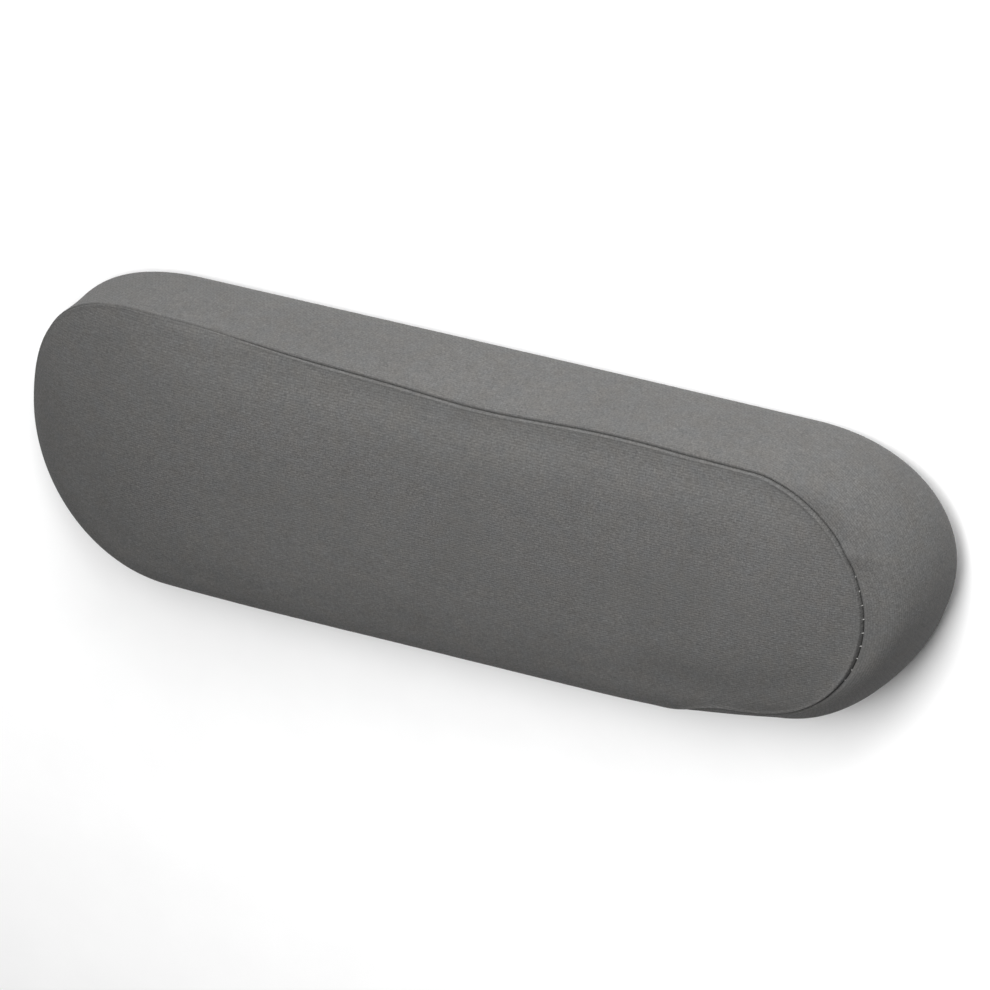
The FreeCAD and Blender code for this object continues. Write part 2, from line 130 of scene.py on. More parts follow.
GROOVE_DEPTH = 0.45 * MM
BAND_GROOVE_HALF = 0.20 * MM
PANEL_GROOVE_HALF = 0.40 * MM
SEAM_GAP = 0.02 * MM
SEAM_GAP_RIGHT = 0.16 * MM
PANEL_LIP = 0.65 * MM
PANEL_LIP_AT = 0.95 * MM
PANEL_LIP_HALF = 0.5 * MM
SEAM_SWELL = 0.35 * MM
SEAM_SWELL_REACH = 5 * MM
TURNED_EDGE = 1.0 * MM
HEM_WIDTH = 15 * MM

# Small things of the band: its upright join, the gathers above the hem and the soft ridge at the right end.
JOIN_AT = -60 * MM
JOIN_DEPTH = 0.6 * MM
JOIN_HALF = 0.5 * MM
GATHER_HEIGHT = 0.28 * MM
GATHER_TURN = 1.15
GATHER_REACH = 5 * MM
RIDGE_START = (127.0 * MM, 24.5 * MM)
RIDGE_END = (137.0 * MM, 22.7 * MM)
RIDGE_HEIGHT = 0.9 * MM
RIDGE_HALF = 2.2 * MM

STITCH_PITCH = 4.8 * MM
THREAD_RADIUS = 0.15 * MM
STITCH_DEPTH = 1.45 * MM
STITCH_DEPTH_RIGHT = 0.30 * MM
STITCH_REACH = 0.45 * MM
STITCH_REACH_RIGHT = 0.65 * MM
STITCH_BOW = 0.35 * MM
STITCH_SLANT = 0.35 * MM

# ---------------------------------------------------------------- how finely the cover is meshed
STRAIGHT_STEP = 2.1 * MM
CAP_COLUMNS = 72
FINE_DISTANCES = (0.0, 0.35 * MM, 0.7 * MM, 1.1 * MM, 1.6 * MM, 2.4 * MM, 3.6 * MM, 5.2 * MM)
PANEL_ROWS = 18
BAND_ROWS = 22


def smooth_bump(distance, spread):
    """1 at no distance, falling smoothly to 0 over about two spreads."""
    return np.exp(-((distance / spread) ** 2))


# ---------------------------------------------------------------- the outline: one column per direction
def straight_places():
    """Column places along a straight side, with closer ones on each side of the band's join."""
    even = np.arange(-SPINE_HALF, SPINE_HALF + STRAIGHT_STEP / 2, STRAIGHT_STEP)
    near_join = [JOIN_AT + side * step * MM for side in (-1, 1) for step in (0.2, 0.5, 0.9, 1.5)]
    kept = even[np.abs(even - JOIN_AT) > 2.2 * MM]
    return np.sort(np.concatenate([kept, near_join]))


def make_columns():
    """Spine place and outward direction of each column, anticlockwise from the far side's right end."""
    places = straight_places()
    turn = np.linspace(0, math.pi, CAP_COLUMNS + 1)[1:-1]
    far = [(x, 0.0, 1.0) for x in places[::-1]]
    left = [(-SPINE_HALF, -math.sin(a), math.cos(a)) for a in turn]
    near = [(x, 0.0, -1.0) for x in places]
    right = [(SPINE_HALF, math.sin(a), -math.cos(a)) for a in turn]
    return np.array(far + left + near + right)


COLUMNS = make_columns()
SPINE_X = COLUMNS[:, 0]
OUT_X = COLUMNS[:, 1]
OUT_Y = COLUMNS[:, 2]
NEAR_SHARE = (1 - OUT_Y) / 2
LEFT_SHARE = np.clip(-OUT_X, 0, 1) ** 2
RIGHT_SHARE = np.clip(OUT_X, 0, 1) ** 2


def eased(share):
    """0 to 1 with no slope at either end."""
    share = np.clip(share, 0, 1)
    return share**2 * (3 - 2 * share)


# OUT_X**2 * OUT_Y reaches about 1 / 2.6, so this makes its largest value about 1.
LEAN_SCALE = 2.6


def end_shape():
    """How much further out than a half circle each column of the two ends reaches."""
    quarter = (2 * OUT_X * OUT_Y) ** 2
    left = quarter * np.where(OUT_Y > 0, LEFT_FAR_QUARTER, LEFT_NEAR_QUARTER)
    right = RIGHT_END_LEAN * LEAN_SCALE * OUT_X**2 * OUT_Y - RIGHT_END_SHORTER * OUT_X**2
    return np.where(OUT_X < 0, left, right)


END_SHAPE = end_shape()


def corner_softness():
    along_sides = FAR_CORNER_SOFTNESS + (NEAR_CORNER_SOFTNESS - FAR_CORNER_SOFTNESS) * NEAR_SHARE
    to_left = (LEFT_CORNER_SOFTNESS - along_sides) * LEFT_SHARE
    to_right = (RIGHT_CORNER_SOFTNESS - along_sides) * RIGHT_SHARE
    return along_sides + to_left + to_right


def far_corner_fullness():
    """The far corner's long lazy S."""
    share = (SPINE_X + SPINE_HALF) / (2 * SPINE_HALF)
    even = FAR_FULLNESS_LEFT + (FAR_FULLNESS_RIGHT - FAR_FULLNESS_LEFT) * share
    hollow = FAR_HOLLOW * smooth_bump(SPINE_X - FAR_HOLLOW_AT, FAR_WAVE_SPREAD)
    swell = FAR_SWELL * smooth_bump(SPINE_X - FAR_SWELL_AT, FAR_WAVE_SPREAD)
    return even - hollow + swell


def corner_fullness():
    """How much further out than the plain corner each column's corner reaches."""
    far = far_corner_fullness()
    fading = np.clip((SPINE_X - NEAR_FULL_UNTIL) / (SPINE_HALF - NEAR_FULL_UNTIL), 0, 1) ** 2
    near = NEAR_CORNER_FULLNESS * (1 - fading)
    along_sides = far + (near - far) * NEAR_SHARE
    to_left = (LEFT_CORNER_FULLNESS - along_sides) * LEFT_SHARE
    to_right = (RIGHT_CORNER_FULLNESS - along_sides) * RIGHT_SHARE
    tucked = RIGHT_NEAR_TUCK * 2 * np.clip(OUT_X, 0, 1) * np.clip(-OUT_Y, 0, 1)
    leaning = END_SHAPE * np.where(OUT_X > 0, RIGHT_CORNER_LEAN, 1)
    return along_sides + to_left + to_right + leaning - tucked


def seam_drop():
    """How far the seam lies down the wall from the corner, along the surface."""
    left = SEAM_DROP_LEFT * smooth_bump(SPINE_X - SEAM_DROP_LEFT_AT, SEAM_DROP_LEFT_SPREAD)
    return left * (1 - NEAR_SHARE) + SEAM_DROP_NEAR * NEAR_SHARE


def right_seam_out():
    """How far out from the spine the seam's own half circle at the right end lies, column by column."""
    off_x = np.clip(SPINE_X - SEAM_CAP_CENTRE[0], 0, None)
    off_y = -SEAM_CAP_CENTRE[1]
    across = off_x * OUT_X + off_y * OUT_Y
    return -across + np.sqrt(SEAM_CAP_RADIUS**2 - off_x**2 - off_y**2 + across**2)


def right_seam_share():
    """0 where the seam follows the corner, 1 where it follows its own half circle."""
    return eased((SPINE_X - SEAM_CAP_CENTRE[0] + SEAM_CAP_BLEND) / SEAM_CAP_BLEND)


# ---------------------------------------------------------------- the cross-section
def crown_level(column, out):
    """Crowned face. It falls less towards the fuller near side, and droops at the left."""
    crown = CREST_LEVEL - CORNER_LEVEL - NEAR_CROWN_RISE * NEAR_SHARE[column]
    along = SPINE_X[column] + out * OUT_X[column]
    drooping_length = LEFT_FACE_DROP_FROM + SPINE_HALF + CORNER_OUT
    droop = np.clip((LEFT_FACE_DROP_FROM - along) / drooping_length, 0, None)
    return CREST_LEVEL - crown * (out / CORNER_OUT) ** 2 - LEFT_FACE_DROP * droop**2


def wall_out(level, widest, corner_out):
    """Bulged wall: widest at one level, drawn in to the base below it and to the corner above it."""
    above = np.clip((level - WIDEST_LEVEL) / (CORNER_LEVEL - WIDEST_LEVEL), 0, None)
    below = np.clip((WIDEST_LEVEL - level) / (WIDEST_LEVEL - BASE_LEVEL), 0, None)
    return widest - (widest - corner_out) * above**2 - (widest - BASE_OUT) * below**2


def bezier(start, control, end, steps):
    """Points of a quadratic curve, without its first one."""
    t = np.linspace(0, 1, steps)[1:, None]
    return (1 - t) ** 2 * start + 2 * t * (1 - t) * control + t**2 * end


def cross_section(column, softness, fullness):
    """(out, level) points from the spine over the face, corner, wall and rim to the hem's inner edge."""
    corner_out = CORNER_OUT + fullness[column]
    wanted = WIDEST_OUT + WALL_FULLNESS + END_SHAPE[column]
    least = BASE_OUT + 0.5 * MM
    widest = (wanted + least + math.hypot(wanted - least, 2 * MM)) / 2
    face_end = corner_out - softness[column]
    wall_start = CORNER_LEVEL - softness[column]
    face = np.linspace(0, face_end, 60)
    start = np.array([face_end, crown_level(column, face_end)])
    control = np.array([corner_out, crown_level(column, corner_out)])
    end = np.array([wall_out(wall_start, widest, corner_out), wall_start])
    levels = np.linspace(wall_start, BASE_LEVEL + CLOTH, 60)[1:]
    rim_start = np.array([wall_out(levels[-1], widest, corner_out), levels[-1]])
    rim_control = np.array([BASE_OUT, BASE_LEVEL])
    rim_end = np.array([BASE_OUT - CLOTH, BASE_LEVEL])
    return np.vstack([
        np.column_stack([face, crown_level(column, face)]),
        bezier(start, control, end, 30),
        np.column_stack([wall_out(levels, widest, corner_out), levels]),
        bezier(rim_start, rim_control, rim_end, 8),
        np.array([[BASE_OUT - HEM_WIDTH, BASE_LEVEL]]),
    ])


class Surface:
    """The padded body's outside, asked for by column and by distance along the cross-section."""

    def __init__(self):
        softness = corner_softness()
        fullness = corner_fullness()
        self.sections = [cross_section(c, softness, fullness) for c in range(len(COLUMNS))]
        steps = [np.hypot(*np.diff(s, axis=0).T) for s in self.sections]
        self.lengths = [np.concatenate([[0], np.cumsum(s)]) for s in steps]
        along_corner = np.array([length[74] for length in self.lengths]) + seam_drop()
        outs = right_seam_out()
        on_face = np.array([
            np.interp(outs[c], self.sections[c][:75, 0], self.lengths[c][:75]) for c in range(len(COLUMNS))
        ])
        share = right_seam_share()
        self.seam = along_corner * (1 - share) + on_face * share
        self.end = np.array([length[-1] for length in self.lengths])

    def at(self, column, distance):
        """Point and outward direction, each as (out, level)."""
        section, length = self.sections[column], self.lengths[column]
        point = np.array([np.interp(distance, length, section[:, k]) for k in (0, 1)])
        ahead = np.array([np.interp(distance + 0.3 * MM, length, section[:, k]) for k in (0, 1)])
        behind = np.array([np.interp(distance - 0.3 * MM, length, section[:, k]) for k in (0, 1)])
        along = ahead - behind
        along /= max(np.hypot(*along), 1e-9)
        return point, np.array([-along[1], along[0]])


def in_space(column, flat_point):
    """A point or direction of one column's cross-section, as x, y, z from the column's spine point."""
    return np.array([flat_point[0] * OUT_X[column], flat_point[0] * OUT_Y[column], flat_point[1]])


SURFACE = Surface()
COUNT = len(COLUMNS)


# ---------------------------------------------------------------- meshes
def new_object(name, points, faces, smooth=True):
    mesh = bpy.data.meshes.new(name)
    mesh.from_pydata([tuple(p) for p in points], [], faces)
    mesh.validate()
    for polygon in mesh.polygons:
        polygon.use_smooth = smooth
    made = bpy.data.objects.new(name, mesh)
    bpy.context.scene.collection.objects.link(made)
    return made


def ring_faces(rows, columns):
    """Quads between rows of points that run round the pad, each row closed on itself."""
    faces = []
    for row in range(rows - 1):
        for column in range(columns):
            following = (column + 1) % columns
            here, below = row * columns, (row + 1) * columns
            faces.append((here + column, below + column, below + following, here + following))
    return faces


def merge_doubles(made):
    work = bmesh.new()
    work.from_mesh(made.data)
    bmesh.ops.remove_doubles(work, verts=work.verts, dist=0.01 * MM)
    work.to_mesh(made.data)
    work.free()


def face_outwards(made):
    work = bmesh.new()
    work.from_mesh(made.data)
    bmesh.ops.recalc_face_normals(work, faces=work.faces)
    work.to_mesh(made.data)
    work.free()


def keep_cloth_places(made, along, across):
    """Stores where each point lies in its own cut of cloth, which is what the weave follows."""
    for name, values in (("cloth_along", along), ("cloth_across", across)):
        layer = made.data.attributes.new(name, "FLOAT", "POINT")
        layer.data.foreach_set("value", np.asarray(values, np.float32).ravel())


# ---------------------------------------------------------------- cloth simulation of the stuffed body
SWELL_INSET = 0.6 * MM
SWELL_OUT_LIMIT = 2.0 * MM
SWELL_IN_LIMIT = 0.3 * MM
VOXEL = 5 * MM


def swelling_form():
    """The whole pad as one closed form, a little smaller than the cover, ready to be blown up."""
    rows = 30
    points = []
    for row in range(rows):
        for column in range(COUNT):
            point, outward = SURFACE.at(column, SURFACE.end[column] * row / (rows - 1))
            points.append(in_space(column, point - outward * SWELL_INSET) + [SPINE_X[column], 0, 0])
    for column in range(COUNT):
        points.append(np.array([SPINE_X[column], 0, BASE_LEVEL + SWELL_INSET]))
    form = new_object("swelling_form", points, ring_faces(rows + 1, COUNT))
    merge_doubles(form)
    remesh = form.modifiers.new("voxels", "REMESH")
    remesh.mode = "VOXEL"
    remesh.voxel_size = VOXEL
    graph = bpy.context.evaluated_depsgraph_get()
    remeshed = bpy.data.meshes.new_from_object(form.evaluated_get(graph))
    form.modifiers.clear()
    form.data = remeshed
    return form


def mesh_points(mesh):
    flat = np.zeros(len(mesh.vertices) * 3)
    mesh.vertices.foreach_get("co", flat)
    return flat.reshape(-1, 3)


def blown_up():
    """Runs Cloth on the closed form, held along its flat underside.

    Returns where its points were, and how far each moved outwards. The foam inside holds the cloth out, so
    it can hardly move inwards.
    """
    form = swelling_form()
    before = mesh_points(form.data)
    outwards = np.zeros(len(form.data.vertices) * 3)
    form.data.vertices.foreach_get("normal", outwards)
    held = form.vertex_groups.new(name="held")
    held.add([i for i, p in enumerate(before) if p[2] < BOARD_LOW.z + VOXEL / 2], 1.0, "REPLACE")
    cloth = form.modifiers.new("cloth", "CLOTH")
    cloth.settings.quality = 6
    cloth.settings.mass = 0.3
    cloth.settings.tension_stiffness = 15
    cloth.settings.compression_stiffness = 15
    cloth.settings.shear_stiffness = 8
    cloth.settings.bending_stiffness = 0.6
    cloth.settings.vertex_group_mass = held.name
    cloth.settings.use_pressure = True
    cloth.settings.uniform_pressure_force = 4
    cloth.settings.effector_weights.gravity = 0
    cloth.point_cache.frame_start = 1
    cloth.point_cache.frame_end = 20
    scene = bpy.context.scene
    for number in range(1, 21):
        scene.frame_set(number)
    graph = bpy.context.evaluated_depsgraph_get()
    after = mesh_points(form.evaluated_get(graph).data)
    scene.frame_set(1)
    bpy.data.objects.remove(form)
    pushed = np.sum((after - before) * outwards.reshape(-1, 3), axis=1)
    return before, np.clip(pushed, -SWELL_IN_LIMIT, SWELL_OUT_LIMIT)


class Swelling:
    """How far the stuffing pushes the cover out at any point, from the simulated form's nearest points."""

    def __init__(self):
        self.tree = None
        before, self.pushed = blown_up()
        self.tree = KDTree(len(before))
        for i, point in enumerate(before):
            self.tree.insert(point, i)
        self.tree.balance()

    def at(self, point):
        if self.tree is None:
            return SWELL_INSET
        near = self.tree.find_n(point, 16)
        weights = np.array([1 / (d + VOXEL) ** 2 for _, _, d in near])
        return weights @ self.pushed[[i for _, i, _ in near]] / weights.sum()


SWELLING = Swelling()


# ---------------------------------------------------------------- the sewn cover
def seam_relief(distance, groove_half):
    """Height of the cloth beside the seam: stuffed up a little, then drawn down into the seam's groove."""
    groove = GROOVE_DEPTH * smooth_bump(distance, groove_half)
    swell = SEAM_SWELL * np.exp(-distance / SEAM_SWELL_REACH) * (1 - smooth_bump(distance, 2 * groove_half))
    return swell - groove


def panel_relief(distance):
    """The face's own edge also stands up in a small rounded lip."""
    lip = PANEL_LIP * smooth_bump(distance - PANEL_LIP_AT, PANEL_LIP_HALF)
    return seam_relief(distance, PANEL_GROOVE_HALF) + lip


def join_relief(column):
    """The upright join of the side band's two ends, on the near side."""
    if OUT_Y[column] > -0.99:
        return 0.0
    return -JOIN_DEPTH * smooth_bump(SPINE_X[column] - JOIN_AT, JOIN_HALF)


def hem_relief(column, to_rim):
    """Small gathers where the cloth is pulled round the pad's ends and under the board."""
    turned = LEFT_SHARE[column] + RIGHT_SHARE[column]
    return GATHER_HEIGHT * turned * math.sin(column * GATHER_TURN) * smooth_bump(to_rim, GATHER_REACH)


def wrinkle_relief(place):
    """The short soft ridge at the right end, where the band is pulled over the foam's corner."""
    start, end = np.array(RIDGE_START), np.array(RIDGE_END)
    run = end - start
    share = np.clip((place[:2] - start) @ run / (run @ run), 0, 1)
    off = np.linalg.norm(place[:2] - start - run * share)
    return RIDGE_HEIGHT * smooth_bump(off, RIDGE_HALF) * math.sin(math.pi * (0.15 + 0.75 * share))


def cover_point(column, distance, relief):
    """A point of the cover in space: on the swollen body, raised by the relief."""
    point, outward = SURFACE.at(column, distance)
    inner = np.array([SPINE_X[column], 0, 0]) + in_space(column, point - outward * SWELL_INSET)
    return inner + in_space(column, outward * (SWELLING.at(inner) + relief))


def seam_gap(column):
    return SEAM_GAP + SEAM_GAP_RIGHT * RIGHT_SHARE[column]


def panel_distances(column):
    """Distances from the seam, inwards over the face to the spine."""
    rest = np.linspace(FINE_DISTANCES[-1], SURFACE.seam[column], PANEL_ROWS + 1)[1:]
    return np.concatenate([FINE_DISTANCES, rest])


def make_top_panel():
    """The face's cloth, from its edge turned in at the seam to the spine."""
    rows = [[] for _ in range(len(FINE_DISTANCES) + PANEL_ROWS + 1)]
    for column in range(COUNT):
        seam = SURFACE.seam[column] - seam_gap(column)
        rows[0].append(cover_point(column, SURFACE.seam[column], -GROOVE_DEPTH - TURNED_EDGE))
        for row, distance in enumerate(panel_distances(column)):
            place = max(seam - distance, 0)
            relief = panel_relief(distance)
            rows[row + 1].append(cover_point(column, place, relief))
    for column in range(COUNT):
        rows[-1][column] = spine_point(column)
    points = np.array(rows).reshape(-1, 3)
    panel = new_object("top_panel_cloth", points, ring_faces(len(rows), COUNT))
    keep_cloth_places(panel, points[:, 0], points[:, 1])
    merge_doubles(panel)
    face_outwards(panel)
    return panel


def spine_point(column):
    """The middle of the face, the same for every column that ends there."""
    inner = np.array([SPINE_X[column], 0, crown_level(column, 0.0) - SWELL_INSET])
    return inner + [0, 0, SWELLING.at(inner)]


def band_distances(column):
    """Distances from the seam, down over the corner, wall and rim to the hem's edge."""
    length = SURFACE.end[column] - SURFACE.seam[column]
    wall = length - HEM_WIDTH + CLOTH
    down = np.linspace(FINE_DISTANCES[-1], wall, BAND_ROWS + 1)[1:]
    hem = np.linspace(wall, length, 5)[1:]
    return np.concatenate([FINE_DISTANCES, down, hem])


def make_side_band():
    """The side's cloth, from its edge turned in at the seam to the hem under the board."""
    rows = [[] for _ in range(len(FINE_DISTANCES) + BAND_ROWS + 5)]
    for column in range(COUNT):
        seam = SURFACE.seam[column] + seam_gap(column)
        distances = band_distances(column)
        rim = distances[-5]
        rows[0].append(cover_point(column, SURFACE.seam[column], -GROOVE_DEPTH - TURNED_EDGE))
        for row, distance in enumerate(distances):
            place = min(seam + distance, SURFACE.end[column])
            flat = cover_point(column, place, 0)
            relief = seam_relief(distance, BAND_GROOVE_HALF) + wrinkle_relief(flat)
            if distance < rim:
                relief += join_relief(column) + hem_relief(column, rim - distance)
            rows[row + 1].append(cover_point(column, place, relief))
    points = np.array(rows).reshape(-1, 3)
    band = new_object("side_band_cloth", points, ring_faces(len(rows), COUNT))
    around = outline_distance()
    down = np.array([[0] + list(band_distances(c)) for c in range(COUNT)]).T
    keep_cloth_places(band, np.tile(around, len(rows)), down)
    face_outwards(band)
    return band


def outline_distance():
    """Distance round the pad's widest line to each column, from the band's own join."""
    places = np.column_stack([SPINE_X + WIDEST_OUT * OUT_X, WIDEST_OUT * OUT_Y])
    steps = np.linalg.norm(np.diff(places, axis=0, append=places[:1]), axis=1)
    travelled = np.concatenate([[0], np.cumsum(steps)])
    join = int(np.argmax((OUT_Y < -0.99) & (SPINE_X > JOIN_AT)))
    return (travelled[:-1] - travelled[join]) % travelled[-1]


# ---------------------------------------------------------------- stitches
def thread_piece(path, radius, sides=8):
    """Points and faces of one short length of thread along a path, closed at both ends."""
    path = np.asarray(path, float)
    points = []
    for i, place in enumerate(path):
        along = Vector(path[min(i + 1, len(path) - 1)] - path[max(i - 1, 0)]).normalized()
        side = along.orthogonal().normalized()
        other = along.cross(side)
        slimmer = 0.55 if i in (0, len(path) - 1) else 1.0
        for k in range(sides):
            angle = 2 * math.pi * k / sides
            round_it = math.cos(angle) * side + math.sin(angle) * other
            points.append(Vector(place) + radius * slimmer * round_it)
    faces = []
    for ring in range(len(path) - 1):
        for k in range(sides):
            following = (k + 1) % sides
            here, ahead = ring * sides, (ring + 1) * sides
            faces.append((here + k, here + following, ahead + following, ahead + k))
    faces.append(tuple(range(sides))[::-1])
    faces.append(tuple((len(path) - 1) * sides + k for k in range(sides)))
    return points, faces


def join_threads(name, paths, radius):
    points, faces = [], []
    for path in paths:
        more_points, more_faces = thread_piece(path, radius)
        faces += [tuple(i + len(points) for i in face) for face in more_faces]
        points += more_points
    return new_object(name, points, faces)


def seam_line():
    """The seam's own line in space, and its outward and across directions, column by column."""
    line = np.array([cover_point(c, SURFACE.seam[c], 0) for c in range(COUNT)])
    face_side = np.array([cover_point(c, SURFACE.seam[c] - 0.8 * MM, 0) for c in range(COUNT)])
    raised = np.array([cover_point(c, SURFACE.seam[c], 1 * MM) for c in range(COUNT)])
    across = line - face_side
    across /= np.linalg.norm(across, axis=1, keepdims=True)
    outward = raised - line
    outward /= np.linalg.norm(outward, axis=1, keepdims=True)
    return line, across, outward


def make_seam_stitches():
    """Short threads that bridge the seam's groove. They lie deep in it, except round the right end."""
    line, across, outward = seam_line()
    closed = np.vstack([line, line[:1]])
    travelled = np.concatenate([[0], np.cumsum(np.linalg.norm(np.diff(closed, axis=0), axis=1))])
    count = int(travelled[-1] / STITCH_PITCH)
    paths = []
    for stitch in range(count):
        place = travelled[-1] * stitch / count
        column = int(np.searchsorted(travelled, place, side="right")) - 1
        share = (place - travelled[column]) / (travelled[column + 1] - travelled[column])
        following = (column + 1) % COUNT
        middle = line[column] * (1 - share) + line[following] * share
        onward = line[following] - line[column]
        onward /= np.linalg.norm(onward)
        shown = RIGHT_SHARE[column]
        depth = STITCH_DEPTH + (STITCH_DEPTH_RIGHT - STITCH_DEPTH) * shown
        reach = STITCH_REACH + (STITCH_REACH_RIGHT - STITCH_REACH) * shown
        path = []
        for step in np.linspace(-1, 1, 7):
            sunk = outward[column] * (depth + STITCH_BOW * step**2)
            path.append(middle + (across[column] * reach + onward * STITCH_SLANT) * step - sunk)
        paths.append(path)
    return join_threads("seam_stitches", paths, THREAD_RADIUS)


def make_join_stitches():
    """Short threads across the upright join of the side band."""
    column = int(np.argmin(np.where(OUT_Y < -0.99, np.abs(SPINE_X - JOIN_AT), 1)))
    top = SURFACE.seam[column] + 3 * MM
    bottom = SURFACE.end[column] - HEM_WIDTH - 1 * MM
    paths = []
    for place in np.arange(top, bottom, STITCH_PITCH / 1.6):
        path = []
        for step in np.linspace(-1, 1, 7):
            middle = cover_point(column, place + 0.25 * MM * step, -0.35 * MM - 0.3 * MM * step**2)
            path.append([JOIN_AT + 0.5 * MM * step, middle[1], middle[2]])
        paths.append(path)
    return join_threads("band_join_stitches", paths, THREAD_RADIUS)


# ---------------------------------------------------------------- the stuffing layers
WADDING_DEPTH = CLOTH + 0.9 * MM
WADDING_THICKNESS = 1.6 * MM
FOAM_DEPTH = WADDING_DEPTH + WADDING_THICKNESS + 0.2 * MM
NUT_FLANGE = 9 * MM
BOLT_RELIEF = 4.5 * MM
BOLT_RELIEF_DEPTH = 8 * MM


def distance_down_to(column, level):
    """Distance along a cross-section to where it comes down to a level on the wall."""
    wall = slice(60, 148)
    return np.interp(-level, -SURFACE.sections[column][wall, 1], SURFACE.lengths[column][wall])


def make_layer(name, low, high, holes=()):
    """A foam block that fills the cover's shape between two levels, with blind holes underneath."""
    rows = 34
    points = []
    for row in range(rows):
        for column in range(COUNT):
            place = cover_point(column, distance_down_to(column, low) * row / (rows - 1), -FOAM_DEPTH)
            points.append((place[0], place[1], low if row == rows - 1 else min(max(place[2], low), high)))
    points += [(SPINE_X[column], 0, low) for column in range(COUNT)]
    layer = new_object(name, points, ring_faces(rows + 1, COUNT), smooth=False)
    merge_doubles(layer)
    face_outwards(layer)
    for place, radius, depth in holes:
        cut_hole(layer, place, radius, low, depth)
    return layer


def cut_hole(layer, place, radius, low, depth):
    cutter = new_object("cutter", *cylinder(place, radius, low - depth, low + depth))
    cut = layer.modifiers.new("hole", "BOOLEAN")
    cut.operation = "DIFFERENCE"
    cut.solver = "EXACT"
    cut.object = cutter
    graph = bpy.context.evaluated_depsgraph_get()
    layer.data = bpy.data.meshes.new_from_object(layer.evaluated_get(graph))
    layer.modifiers.clear()
    bpy.data.objects.remove(cutter)


def cylinder(place, radius, low, high, sides=32):
    angles = [2 * math.pi * k / sides for k in range(sides)]
    rim = [(place[0] + radius * math.cos(a), place[1] + radius * math.sin(a)) for a in angles]
    points = [(x, y, low) for x, y in rim] + [(x, y, high) for x, y in rim]
    faces = [(k, (k + 1) % sides, sides + (k + 1) % sides, sides + k) for k in range(sides)]
    faces += [tuple(range(sides))[::-1], tuple(range(sides, 2 * sides))]
    return points, faces


def bolt_places():
    """X and y of each bolt, from the box round the tee nuts and the radius of their flanges."""
    nuts_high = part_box("tee_nuts")[1]
    x, y = nuts_high.x - NUT_FLANGE, nuts_high.y - NUT_FLANGE
    return [(side * x, end * y) for side in (-1, 1) for end in (-1, 1)]


def make_wadding():
    """The thin fibre wrap just inside the cover, down to the level where the board takes over."""
    rows = 28
    outer = [(row, WADDING_DEPTH) for row in range(rows)]
    inner = [(row, WADDING_DEPTH + WADDING_THICKNESS) for row in reversed(range(rows))]
    points = []
    for row, depth in outer + inner:
        for column in range(COUNT):
            distance = distance_down_to(column, BOARD_HIGH.z) * row / (rows - 1)
            points.append(cover_point(column, distance, -depth))
    wadding = new_object("fibre_wadding_wrap", points, ring_faces(2 * rows, COUNT))
    merge_doubles(wadding)
    face_outwards(wadding)
    return wadding


# ---------------------------------------------------------------- the dust cloth
DUST_OUT = DUST_HIGH.y
DUST_OPENING = 6 * MM
DUST_THICKNESS = 0.10 * MM
DUST_CLEARANCE = 0.04 * MM
DUST_SLACK = 0.5 * MM
DUST_SLACK_WITHIN = 26 * MM


def dust_cloth_level(x, y):
    """Tight over the hem's staples, which it hides. In the middle, slack folds rise towards the board."""
    out = math.hypot(max(abs(x) - SPINE_HALF, 0), y)
    slack = float(eased((DUST_SLACK_WITHIN - out) / DUST_SLACK_WITHIN))
    folds = 0.5 + 0.3 * math.sin((x + 2.2 * y) / (13 * MM)) + 0.2 * math.sin((x - 1.7 * y) / (7 * MM))
    return DUST_LOW.z + DUST_CLEARANCE + DUST_SLACK * slack * folds


def make_dust_cloth():
    """A thin stretched sheet, the shape of the pad's outline, with an opening under each bolt hole."""
    outs = np.linspace(0, DUST_OUT, 16)
    points = []
    for lift, row_outs in ((0, outs), (DUST_THICKNESS, outs[::-1])):
        for out in row_outs:
            for column in range(COUNT):
                x, y = SPINE_X[column] + out * OUT_X[column], out * OUT_Y[column]
                points.append((x, y, dust_cloth_level(x, y) + lift))
    cloth = new_object("dust_cloth", points, ring_faces(2 * len(outs), COUNT))
    merge_doubles(cloth)
    face_outwards(cloth)
    for place in bolt_places():
        cut_hole(cloth, place, DUST_OPENING, 0, 5 * MM)
    return cloth


